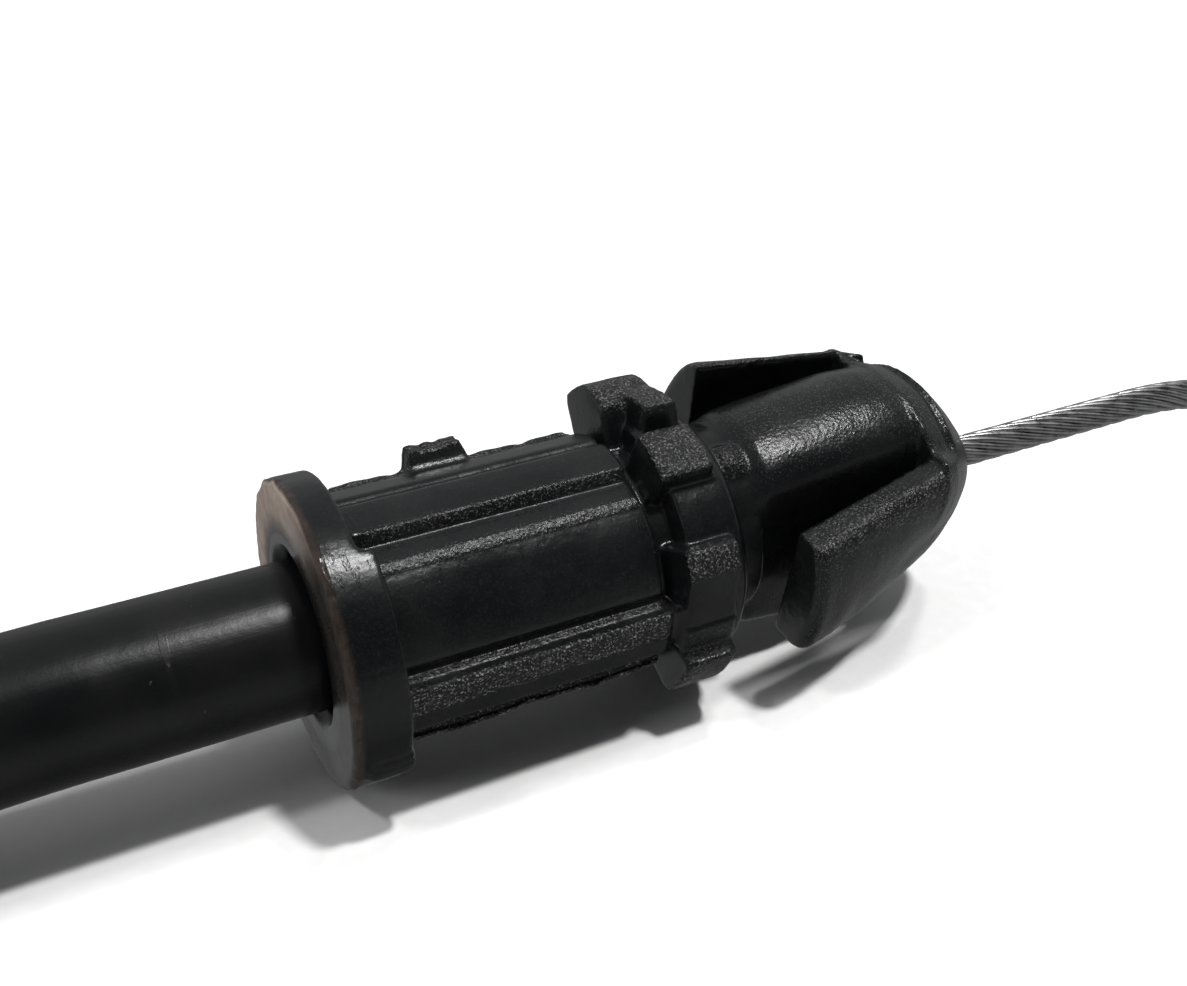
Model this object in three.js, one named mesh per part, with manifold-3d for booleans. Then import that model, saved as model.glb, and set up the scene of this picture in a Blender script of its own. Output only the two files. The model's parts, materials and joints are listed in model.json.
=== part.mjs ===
// Snap-in end fitting of a Bowden control cable, with its conduit, inner strand and end terminals.
// Millimetres, +Z up, +X from the conduit end of the fitting to its nose.
// The origin is on the floor, under the middle of the fitting.
import * as THREE from 'three';
import * as BufferGeometryUtils from 'three/addons/utils/BufferGeometryUtils.js';
import Module from 'manifold-3d';

const wasm = await Module();
wasm.setup();

// ---- driving dimensions ----
const GAP = 0.3;                    // clearance between touching pieces
const FLOOR = 0.05;                 // height of the lowest cord pieces over the floor

// conduit, in layers from the inside out
const WIRE_D = 1.59;
const LINER_R = [1.1, 1.4];
const ARMOUR_R = [1.7, 2.3];
const JACKET_R = [2.6, 3.175];
const CONDUIT_R = JACKET_R[1];

// fitting, along its axis from the flange's rear face
const FIT_LENGTH = 33;
const AXIS_Z = 6.56;                // the flange rests on the floor
const FLANGE_X = 2.1;
const BARREL_X = 13.9;
const COLLAR_X = [15.1, 18.1];
const LOBE_X = [14.5, 17.2];
const CORE_X = 19.6;
const BARB_X = [20.2, 27.7];
const NOSE_X = 28;
const FLANGE_R = 6.56;
const BARREL_R = 5.35;
const RECESS_R = 4.6;
const COLLAR_R = 5.6;
const NECK_R = 4.15;
const CORE_R = 5.4;
const NOSE_PROFILE = [[NOSE_X, 6.45], [29, 5.85], [30, 4.95], [31, 3.85], [32, 2.7], [FIT_LENGTH, 1.7]];
const BORE_R = CONDUIT_R + GAP;
const BORE_DEPTH = 13;
const WIRE_BORE_R = 1.2;
const JACKET_SEAT_X = BORE_DEPTH - 0.6;

// clock angles about the axis, in degrees: 0 is up, 90 is towards -Y
const BARB_CLOCK = 97.6;            // middle of the front barb; the back barb is opposite
const CORE_HALF_THICK = 3.3;        // the core is flat on the two sides that face the barbs
const LOBES = [                     // raised blocks on the collar; the tallest is a key
  { clocks: [10, 36], r: 6.5 }, { clocks: [61, 98], r: 6.3 },
  { clocks: [96, 112], r: 6.1 }, { clocks: [110, 141], r: 6.6 },
  { clocks: [177, 203], r: 6.4 }, { clocks: [235, 261], r: 6.5 },
  { clocks: [314, 343], r: 7.4 }, { clocks: [341, 365], r: 6.9 },
];
const TOP_RIB = { clocks: [-0.9, 20.1], r: 5.55, x: [FLANGE_X, BARREL_X] };
const LOW_RIB = { clocks: [86.5, 108.7], r: 5.95, x: [FLANGE_X, COLLAR_X[0] + 0.4] };
const BACK_RIB = { clocks: [179.1, 200.1], r: 5.55, x: [FLANGE_X, BARREL_X] };
const FAR_RIB = { clocks: [266.5, 288.7], r: 5.95, x: [FLANGE_X, COLLAR_X[0] + 0.4] };

// barbs: rear and root sizes
const FRONT_BARB = { clock: BARB_CLOCK, inner: [5.2, 4.3], outer: [7.45, 6.0], half: [2.95, 3.8] };
const BACK_BARB = { clock: BARB_CLOCK - 180, inner: [4.2, 4.1], outer: [7.45, 6.5], half: [5.75, 5.2] };

// exposed strand and its terminal, ahead of the nose
const WIRE_TAIL_X = -9;
const WIRE_STRAIGHT_X = 45;
const WIRE_BEND_R = 25;
const WIRE_DIP = 13.5 * Math.PI / 180;
const TERMINAL_R = 2.4;
const TERMINAL_LENGTH = 8;

// conduit outside the fitting
const HOLLOW_END_X = -10;           // behind this the conduit is drawn solid
const COIL_TURN_R = [29.8, 36.2];   // inner and outer column of turns
const COIL_PITCH = 2 * CONDUIT_R;
const COIL_RIGHT_X = -32;           // the coil's edge nearest the fitting
const TIE_THICK = 0.7;
const TIE_WIDTH = 3.6;
const TIE_CLOCKS = [60, 240];       // places round the coil

// far end: a straight slope from the top of the coil to the floor
const FAR_TILT = 12.3 * Math.PI / 180;
const FAR_HOLLOW = 11.7;
const FERRULE = { start: 2, end: 13, wall: 1, r: 3.85 };
const FAR_WIRE = [8.8, 26];
const FAR_TERMINAL = [21.5, 26];

const STEPS_ROUND = 48;
const STEPS_SMALL = 24;

const coilOuterR = COIL_TURN_R[1] + CONDUIT_R;
const coilX = COIL_RIGHT_X - coilOuterR;
const coilY = COIL_TURN_R[1];
const coilLowZ = FLOOR + TIE_THICK + GAP + CONDUIT_R;
const coilHighZ = coilLowZ + COIL_PITCH;

// ---- materials ----
const blackNylon = new THREE.MeshStandardMaterial({ color: 0x25282a, roughness: 0.42, metalness: 0 });
const blackJacket = new THREE.MeshStandardMaterial({ color: 0x1b1d20, roughness: 0.38, metalness: 0 });
const linerPlastic = new THREE.MeshStandardMaterial({ color: 0xe4e2d8, roughness: 0.5, metalness: 0 });
const springSteel = new THREE.MeshStandardMaterial({ color: 0x85888c, roughness: 0.35, metalness: 1 });
const strandSteel = new THREE.MeshStandardMaterial({ color: 0xb9bcc0, roughness: 0.3, metalness: 1 });
const zincDieCast = new THREE.MeshStandardMaterial({ color: 0xa2a6aa, roughness: 0.45, metalness: 1 });
const tieNylon = new THREE.MeshStandardMaterial({ color: 0x1f2123, roughness: 0.5, metalness: 0 });

// ---- geometry helpers ----
const radians = (degrees) => degrees * Math.PI / 180;

// a point of the fitting's cross-section, as (Y, Z) from its axis
const clockPoint = (clock, r) => new THREE.Vector2(-r * Math.sin(radians(clock)), r * Math.cos(radians(clock)));

function toManifold(geometry) {
  const bare = geometry.clone();
  bare.deleteAttribute('normal');
  bare.deleteAttribute('uv');
  const merged = BufferGeometryUtils.mergeVertices(bare, 1e-4);
  return new wasm.Manifold(new wasm.Mesh({
    numProp: 3,
    vertProperties: new Float32Array(merged.attributes.position.array),
    triVerts: new Uint32Array(merged.index.array),
  }));
}

function fromManifold(solid) {
  const mesh = solid.getMesh();
  const geometry = new THREE.BufferGeometry();
  geometry.setAttribute('position', new THREE.BufferAttribute(new Float32Array(mesh.vertProperties), 3));
  geometry.setIndex(new THREE.BufferAttribute(new Uint32Array(mesh.triVerts), 1));
  geometry.computeVertexNormals();
  return geometry;
}

// a solid of revolution about X, from a closed [x, r] profile with x rising along the outside
function turned(profile, segments = STEPS_ROUND) {
  const points = profile.map(([x, r]) => new THREE.Vector2(r, x));
  const geometry = new THREE.LatheGeometry(points, segments);
  // the lathe turns about Y: its Y goes to X, its Z to -Z, so a corner of the facets is at the bottom
  geometry.applyMatrix4(new THREE.Matrix4().makeBasis(
    new THREE.Vector3(0, 0, -1), new THREE.Vector3(1, 0, 0), new THREE.Vector3(0, -1, 0)));
  return geometry;
}

// a tube about X between two radii
const ring = (x0, x1, rInner, rOuter, segments = STEPS_SMALL) =>
  turned([[x0, rInner], [x0, rOuter], [x1, rOuter], [x1, rInner], [x0, rInner]], segments);

const plug = (x0, x1, r, segments = STEPS_ROUND) => turned([[x0, 0], [x0, r], [x1, r], [x1, 0]], segments);

// an outline in the fitting's cross-section, extruded along X
function crossSection(outline, x0, x1) {
  const geometry = new THREE.ExtrudeGeometry(new THREE.Shape(outline), { depth: x1 - x0, bevelEnabled: false });
  geometry.applyMatrix4(new THREE.Matrix4().makeBasis(
    new THREE.Vector3(0, 1, 0), new THREE.Vector3(0, 0, 1), new THREE.Vector3(1, 0, 0)));
  geometry.translate(x0, 0, 0);
  return geometry;
}

// a wedge of the cross-section, from rInner to rOuter between two clock angles
function wedge(clocks, rInner, rOuter, x) {
  const steps = 6;
  const outline = [];
  for (let i = 0; i <= steps; i += 1) {
    outline.push(clockPoint(clocks[0] + (clocks[1] - clocks[0]) * i / steps, rOuter));
  }
  for (let i = steps; i >= 0; i -= 1) {
    outline.push(clockPoint(clocks[0] + (clocks[1] - clocks[0]) * i / steps, rInner));
  }
  return crossSection(outline, x[0], x[1]);
}

function tube(curve, r, sides, steps) {
  const section = new THREE.Shape();
  for (let i = 0; i < sides; i += 1) {
    const angle = 2 * Math.PI * i / sides;
    const x = r * Math.cos(angle);
    const y = r * Math.sin(angle);
    if (i === 0) section.moveTo(x, y);
    else section.lineTo(x, y);
  }
  return new THREE.ExtrudeGeometry(section, { steps, bevelEnabled: false, extrudePath: curve });
}

function named(name, geometry, material) {
  const mesh = new THREE.Mesh(geometry, material);
  mesh.name = name;
  return mesh;
}

// ---- fitting: one moulding of flange, ribbed barrel, lobed collar, slotted core and nose ----
// the core is a disc with its two sides cut flat, so that each barb can flex towards it
function coreOutline() {
  const halfSpan = Math.asin(CORE_HALF_THICK / CORE_R) * 180 / Math.PI;
  const outline = [];
  const steps = 8;
  for (const middle of [BARB_CLOCK - 90, BARB_CLOCK + 90]) {
    for (let i = 0; i <= steps; i += 1) {
      outline.push(clockPoint(middle - halfSpan + 2 * halfSpan * i / steps, CORE_R));
    }
  }
  return outline;
}

function fittingBody() {
  const shell = turned([
    [0, BORE_R], [0, FLANGE_R], [FLANGE_X, FLANGE_R], [FLANGE_X, BARREL_R],
    [BARREL_X, BARREL_R], [BARREL_X, RECESS_R], [COLLAR_X[0], RECESS_R],
    [COLLAR_X[0], COLLAR_R], [COLLAR_X[1], COLLAR_R], [COLLAR_X[1], NECK_R], [CORE_X, NECK_R],
    [CORE_X + 0.5, CORE_HALF_THICK], [NOSE_X, CORE_HALF_THICK],
    ...NOSE_PROFILE,
    [FIT_LENGTH, WIRE_BORE_R], [BORE_DEPTH, WIRE_BORE_R], [BORE_DEPTH, BORE_R], [0, BORE_R],
  ]);
  const wireWay = toManifold(plug(BORE_DEPTH - 1, FIT_LENGTH + 1, WIRE_BORE_R, STEPS_ROUND));
  const additions = [
    crossSection(coreOutline(), CORE_X, NOSE_X + 0.2),
    ...[TOP_RIB, LOW_RIB, BACK_RIB, FAR_RIB].map((rib) => wedge(rib.clocks, RECESS_R - 0.3, rib.r, rib.x)),
    ...LOBES.map((lobe) => wedge(lobe.clocks, RECESS_R - 0.3, lobe.r, LOBE_X)),
  ];
  let solid = toManifold(shell);
  for (const addition of additions) {
    solid = solid.add(toManifold(addition).subtract(wireWay));
  }
  return fromManifold(solid);
}

// a barb is a tongue that grows from the nose back over the core: outside round, inside flat
function barb({ clock, inner, outer, half }) {
  const [rear, root] = BARB_X;
  const skin = toManifold(turned([[rear, 0], [rear, outer[0]], [root, outer[1]], [root, 0]], 72));
  const rows = [[rear, inner[0], half[0]], [root, inner[1], half[1]]];
  // a tapered block, as eight corners: along X, outwards, and across
  const corners = [];
  for (const [x, low, across] of rows) {
    for (const [out, side] of [[low, -across], [FLANGE_R * 2, -across], [FLANGE_R * 2, across], [low, across]]) {
      corners.push(x, side, out);
    }
  }
  const faces = [0, 1, 2, 0, 2, 3, 4, 6, 5, 4, 7, 6, 0, 5, 1, 0, 4, 5,
    1, 6, 2, 1, 5, 6, 2, 7, 3, 2, 6, 7, 3, 4, 0, 3, 7, 4];
  const block = new THREE.BufferGeometry();
  block.setAttribute('position', new THREE.BufferAttribute(new Float32Array(corners), 3));
  block.setIndex(faces);
  block.applyMatrix4(new THREE.Matrix4().makeRotationX(radians(clock)));
  return fromManifold(skin.intersect(toManifold(block)));
}

const fitting = new THREE.Group();
fitting.position.set(-FIT_LENGTH / 2, 0, AXIS_Z);
fitting.add(named('fitting_body', fittingBody(), blackNylon));
fitting.add(named('barb_front', barb(FRONT_BARB), blackNylon));
fitting.add(named('barb_back', barb(BACK_BARB), blackNylon));

// ---- near end of the conduit: three hollow layers that guide the strand ----
const nearLayers = { liner: LINER_R, armour: ARMOUR_R, jacket: JACKET_R };
const layerMaterials = { liner: linerPlastic, armour: springSteel, jacket: blackJacket };
for (const [layer, radii] of Object.entries(nearLayers)) {
  const geometry = ring(HOLLOW_END_X, JACKET_SEAT_X, radii[0], radii[1]);
  fitting.add(named(`conduit_${layer}_near`, geometry, layerMaterials[layer]));
}

// ---- strand through the fitting, dipping to its terminal on the floor ----
const bendEndX = WIRE_STRAIGHT_X + WIRE_BEND_R * Math.sin(WIRE_DIP);
const bendEndZ = -WIRE_BEND_R * (1 - Math.cos(WIRE_DIP));
// the terminal's lower rim rests on the floor
const terminalEndZ = FLOOR - AXIS_Z + TERMINAL_R * Math.cos(WIRE_DIP);
const slopeLength = (bendEndZ - terminalEndZ) / Math.sin(WIRE_DIP);
const wirePath = new THREE.CurvePath();
const wireBend = [];
const bendSteps = 4;
for (let i = 0; i <= bendSteps; i += 1) {
  const angle = WIRE_DIP * i / bendSteps;
  wireBend.push(new THREE.Vector3(
    WIRE_STRAIGHT_X + WIRE_BEND_R * Math.sin(angle), 0, -WIRE_BEND_R * (1 - Math.cos(angle))));
}
const wireEnd = new THREE.Vector3(
  bendEndX + slopeLength * Math.cos(WIRE_DIP), 0, bendEndZ - slopeLength * Math.sin(WIRE_DIP));
wirePath.add(new THREE.LineCurve3(new THREE.Vector3(WIRE_TAIL_X, 0, 0), wireBend[0]));
for (let i = 0; i < bendSteps; i += 1) wirePath.add(new THREE.LineCurve3(wireBend[i], wireBend[i + 1]));
wirePath.add(new THREE.LineCurve3(wireBend[bendSteps], wireEnd));
fitting.add(named('wire_near', tube(wirePath, WIRE_D / 2, 8, 24), strandSteel));

const nearTerminal = new THREE.Group();
nearTerminal.position.copy(wireEnd);
nearTerminal.rotation.y = WIRE_DIP;
nearTerminal.add(named('terminal_near', ring(-TERMINAL_LENGTH, 0, LINER_R[0], TERMINAL_R), zincDieCast));
fitting.add(nearTerminal);

// ---- conduit between the fitting and the coil: down to the coil's lowest turn ----
const ringEdge = (acrossY) => Math.sqrt(coilOuterR ** 2 - acrossY ** 2);
const runEndX = coilX + ringEdge(coilY - CONDUIT_R) + GAP;
const runStartX = HOLLOW_END_X - FIT_LENGTH / 2 - GAP;
const conduitRoute = new THREE.CatmullRomCurve3([
  new THREE.Vector3(runStartX, 0, AXIS_Z),
  new THREE.Vector3(runStartX - 4, 0, AXIS_Z - 0.2),
  new THREE.Vector3(runStartX - 11, 0, (AXIS_Z + coilLowZ) / 2),
  new THREE.Vector3(runEndX + 4, 0, coilLowZ + 0.2),
  new THREE.Vector3(runEndX, 0, coilLowZ),
], false, 'centripetal');

const group = new THREE.Group();
group.add(fitting);
group.add(named('conduit_run', tube(conduitRoute, CONDUIT_R, 12, 8), blackJacket));

// ---- coil: the outer shape of two columns of turns, two high ----
function coilGeometry() {
  const inner = COIL_TURN_R[0] - CONDUIT_R - 2.2;
  const outer = coilOuterR;
  const low = coilLowZ - CONDUIT_R;
  const high = coilHighZ + CONDUIT_R;
  const corner = CONDUIT_R / 2;
  const profile = [
    [inner + corner, low], [outer - corner, low], [outer, low + corner], [outer, high - corner],
    [outer - corner, high], [inner + corner, high], [inner, high - corner], [inner, low + corner],
    [inner + corner, low],
  ];
  const geometry = new THREE.LatheGeometry(profile.map(([r, z]) => new THREE.Vector2(r, z)), 64);
  geometry.rotateX(Math.PI / 2);
  return geometry;
}
const coil = named('conduit_coil', coilGeometry(), blackJacket);
coil.position.set(coilX, coilY, 0);
group.add(coil);

// ---- cable ties round the coil: a band and its locking head ----
function tieBand() {
  const inner = COIL_TURN_R[0] - CONDUIT_R - 2.2 - GAP;
  const outer = coilOuterR + GAP;
  const low = coilLowZ - CONDUIT_R - GAP;
  const high = coilHighZ + CONDUIT_R + GAP;
  const outline = new THREE.Shape([
    new THREE.Vector2(inner - TIE_THICK, low - TIE_THICK), new THREE.Vector2(outer + TIE_THICK, low - TIE_THICK),
    new THREE.Vector2(outer + TIE_THICK, high + TIE_THICK), new THREE.Vector2(inner - TIE_THICK, high + TIE_THICK),
  ]);
  outline.holes.push(new THREE.Path([
    new THREE.Vector2(inner, low), new THREE.Vector2(inner, high),
    new THREE.Vector2(outer, high), new THREE.Vector2(outer, low),
  ]));
  const geometry = new THREE.ExtrudeGeometry(outline, { depth: TIE_WIDTH, bevelEnabled: false });
  geometry.rotateX(Math.PI / 2);
  geometry.translate(0, TIE_WIDTH / 2, 0);
  return geometry;
}

function tieHead() {
  const geometry = new THREE.BoxGeometry(6, TIE_WIDTH + 1.6, 4);
  geometry.translate((COIL_TURN_R[0] + COIL_TURN_R[1]) / 2, 0, coilHighZ + CONDUIT_R + 2 * GAP + TIE_THICK + 2);
  return geometry;
}

TIE_CLOCKS.forEach((clock, index) => {
  const tie = new THREE.Group();
  tie.position.set(coilX, coilY, 0);
  tie.rotation.z = radians(270 - clock);
  tie.add(named(`tie_${index + 1}_band`, tieBand(), tieNylon));
  tie.add(named(`tie_${index + 1}_head`, tieHead(), tieNylon));
  group.add(tie);
});

// ---- far end: hollow conduit, crimped ferrule, strand and terminal ----
const farEnd = new THREE.Group();
const farStartX = runEndX + GAP;
const farDrop = FAR_TERMINAL[1] * Math.sin(FAR_TILT);
farEnd.position.set(farStartX, coilY * 2, FLOOR + TERMINAL_R * Math.cos(FAR_TILT) + farDrop);
farEnd.rotation.y = FAR_TILT;
for (const [layer, radii] of Object.entries(nearLayers)) {
  farEnd.add(named(`conduit_${layer}_far`, ring(0, FAR_HOLLOW, radii[0], radii[1]), layerMaterials[layer]));
}
farEnd.add(named('conduit_ferrule_far', turned([
  [FERRULE.start, CONDUIT_R + GAP], [FERRULE.start, FERRULE.r], [FERRULE.end, FERRULE.r],
  [FERRULE.end, LINER_R[0]], [FERRULE.end - FERRULE.wall, LINER_R[0]],
  [FERRULE.end - FERRULE.wall, CONDUIT_R + GAP], [FERRULE.start, CONDUIT_R + GAP],
], STEPS_SMALL), zincDieCast));
farEnd.add(named('wire_far', plug(FAR_WIRE[0], FAR_WIRE[1], WIRE_D / 2, 12), strandSteel));
farEnd.add(named('terminal_far', ring(FAR_TERMINAL[0], FAR_TERMINAL[1], LINER_R[0], TERMINAL_R), zincDieCast));
group.add(farEnd);

export default group;
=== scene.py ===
"""Snap-in conduit fitting on a control cable, lying on a pale floor.

Lengths are written in millimetres, as in the CAD model, and turned into metres by MM.
The fitting's own axis runs along +X from its rear flange to its nose; "x" below counts along it.
Clock angles run about that axis: 0 is up, 90 is towards the viewer (-Y).
"""
import json
import math

import bpy
import bmesh
import numpy as np
from mathutils import Matrix, Vector, geometry, noise

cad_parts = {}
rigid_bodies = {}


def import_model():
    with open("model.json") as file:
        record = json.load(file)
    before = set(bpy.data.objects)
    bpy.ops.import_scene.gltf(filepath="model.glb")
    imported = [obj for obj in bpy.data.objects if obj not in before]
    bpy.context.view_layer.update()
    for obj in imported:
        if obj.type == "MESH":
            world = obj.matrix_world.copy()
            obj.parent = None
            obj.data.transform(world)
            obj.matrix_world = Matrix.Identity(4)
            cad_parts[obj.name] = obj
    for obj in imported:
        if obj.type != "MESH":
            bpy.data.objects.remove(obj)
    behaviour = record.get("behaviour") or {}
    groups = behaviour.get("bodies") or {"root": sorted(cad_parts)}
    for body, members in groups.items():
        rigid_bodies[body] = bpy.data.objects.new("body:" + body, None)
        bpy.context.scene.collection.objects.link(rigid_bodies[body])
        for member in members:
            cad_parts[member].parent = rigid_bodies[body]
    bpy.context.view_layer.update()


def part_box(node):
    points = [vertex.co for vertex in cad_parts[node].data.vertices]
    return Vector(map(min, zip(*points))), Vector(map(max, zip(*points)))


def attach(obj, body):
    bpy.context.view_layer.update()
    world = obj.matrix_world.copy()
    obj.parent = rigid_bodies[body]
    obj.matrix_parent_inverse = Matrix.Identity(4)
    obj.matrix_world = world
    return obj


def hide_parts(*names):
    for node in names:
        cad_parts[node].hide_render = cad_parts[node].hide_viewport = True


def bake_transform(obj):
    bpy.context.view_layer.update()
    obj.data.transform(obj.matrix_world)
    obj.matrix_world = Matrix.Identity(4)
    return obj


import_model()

MM = 0.001
LOW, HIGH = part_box("fitting_body")
# the flange's rear face, at the middle of the body's height, which is 0.26 mm above the CAD model's axis
REAR = Vector((LOW.x, 0, (LOW.z + HIGH.z) / 2))
FIT_LENGTH = (HIGH.x - LOW.x) / MM

# conduit and strand
CONDUIT_D = 6.35
CONDUIT_R = CONDUIT_D / 2
WIRE_D = 1.59
TERMINAL_R = 2.4
FLOOR_GAP = 0.05

# fitting, as in the CAD model
FLANGE_R = 6.56
BARREL_R = 5.35
BARREL_X = 13.9
NECK_R = 4.6                 # in the recess between barrel and collar
COLLAR_X = (15.1, 18.1)
LOBE_X = (14.5, 17.2)
CORE_X = 19.6
BARB_REAR_X = 20.2
NOSE_X = 28.0
BARB_CLOCK = 97.6
CORE_HALF_THICK = 3.3

# coil, as in the CAD model
COIL_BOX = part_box("conduit_coil")
COIL_TOP_R = 36.2
COIL_LOW_R = 29.8
COIL_X = (COIL_BOX[0].x + COIL_BOX[1].x) / 2 / MM
COIL_Y = (COIL_BOX[0].y + COIL_BOX[1].y) / 2 / MM
COIL_LOW_Z = COIL_BOX[0].z / MM + CONDUIT_R
COIL_HIGH_Z = COIL_BOX[1].z / MM - CONDUIT_R


# ---------------------------------------------------------------- helpers
def smoothstep(low, high, value):
    t = np.clip((np.asarray(value, float) - low) / (high - low), 0, 1)
    return t * t * (3 - 2 * t)


def clock_gap(clock, middle):
    """Signed angle from middle to clock, from -180 to 180."""
    return (np.asarray(clock, float) - middle + 540) % 360 - 180


def bump(clock, middle, half, edge=1.5):
    """1 within half of the middle angle, falling to 0 over edge degrees on each side."""
    return 1 - smoothstep(half - edge / 2, half + edge / 2, np.abs(clock_gap(clock, middle)))


def band(value, low, high, edge=0.15):
    """1 between low and high, falling to 0 over edge at each end."""
    rise = smoothstep(low - edge / 2, low + edge / 2, value)
    fall = smoothstep(high - edge / 2, high + edge / 2, value)
    return rise * (1 - fall)


def axis_points(x, r, clock):
    """Points of the fitting, in metres, from x and r in mm and clock in degrees."""
    angle = np.radians(clock)
    x, r, angle = np.broadcast_arrays(x, r, angle)
    return np.stack([
        REAR.x + x * MM,
        -r * np.sin(angle) * MM,
        REAR.z + r * np.cos(angle) * MM,
    ], axis=-1)


def mesh_object(name, vertices, faces, material=None):
    mesh = bpy.data.meshes.new(name)
    mesh.from_pydata([tuple(v) for v in vertices], [], faces)
    mesh.validate()
    obj = bpy.data.objects.new(name, mesh)
    bpy.context.scene.collection.objects.link(obj)
    if material:
        mesh.materials.append(material)
    mesh.shade_smooth()
    return obj


def grid_faces(rows, columns, wrap_rows=False):
    """Quads between rows of points that each close on themselves."""
    faces = []
    for i in range(rows if wrap_rows else rows - 1):
        j = (i + 1) % rows
        for k in range(columns):
            m = (k + 1) % columns
            faces.append((i * columns + k, i * columns + m, j * columns + m, j * columns + k))
    return faces


def sweep(points, radius, sides):
    """Vertices and faces of a closed round tube along points, given in any unit."""
    points = [Vector(p) for p in points]
    tangents = []
    for i in range(len(points)):
        a, b = points[max(i - 1, 0)], points[min(i + 1, len(points) - 1)]
        tangents.append((b - a).normalized())
    side = tangents[0].orthogonal().normalized()
    vertices = []
    for i, (point, tangent) in enumerate(zip(points, tangents)):
        side = (side - tangent * side.dot(tangent)).normalized()
        other = tangent.cross(side)
        r = radius[i] if hasattr(radius, "__len__") else radius
        for k in range(sides):
            angle = 2 * math.pi * k / sides
            vertices.append(point + (side * math.cos(angle) + other * math.sin(angle)) * r)
    faces = grid_faces(len(points), sides)
    last = (len(points) - 1) * sides
    faces.append(tuple(range(sides - 1, -1, -1)))
    faces.append(tuple(last + k for k in range(sides)))
    return vertices, faces


def turned(name, profile, matrix, material, segments=64):
    """A solid of revolution from a closed [x, r] outline in mm, about the X axis of matrix."""
    vertices = []
    for x, r in profile:
        for k in range(segments):
            angle = 2 * math.pi * k / segments
            vertices.append(matrix @ Vector((x * MM, r * MM * math.cos(angle), r * MM * math.sin(angle))))
    faces = grid_faces(len(profile), segments, wrap_rows=True)
    obj = mesh_object(name, vertices, faces, material)
    recalculate(obj)
    return obj


def recalculate(obj):
    bm = bmesh.new()
    bm.from_mesh(obj.data)
    bmesh.ops.recalc_face_normals(bm, faces=bm.faces)
    bm.to_mesh(obj.data)
    bm.free()


def rounded(profile, radius, steps=3):
    """A closed outline with each corner rounded to the radius, or less on a short side."""
    result = []
    count = len(profile)
    for i in range(count):
        before, here, after = (np.array(profile[j % count], float) for j in (i - 1, i, i + 1))
        u, v = before - here, after - here
        lu, lv = np.linalg.norm(u), np.linalg.norm(v)
        cut = min(radius, lu * 0.45, lv * 0.45)
        p, q = here + u / lu * cut, here + v / lv * cut
        for k in range(steps + 1):
            t = k / steps
            result.append(tuple((1 - t) ** 2 * p + 2 * t * (1 - t) * here + t ** 2 * q))
    return result


# ---------------------------------------------------------------- camera
def make_camera():
    data = bpy.data.cameras.new("camera")
    data.sensor_width = 36
    data.lens = 43.07
    data.clip_start = 0.001
    camera = bpy.data.objects.new("camera", data)
    bpy.context.scene.collection.objects.link(camera)
    right = Vector((0.8908, -0.4544, 0)).normalized()
    forward = Vector((0.3906, 0.765, -0.511)).normalized()
    up = right.cross(forward).normalized()
    right = forward.cross(up).normalized()
    turn = Matrix((right, up, -forward)).transposed().to_4x4()
    place = REAR + Vector((-10.6, -46.8, 34.4)) * MM
    camera.matrix_world = Matrix.Translation(place) @ turn
    bpy.context.scene.camera = camera


make_camera()


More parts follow.
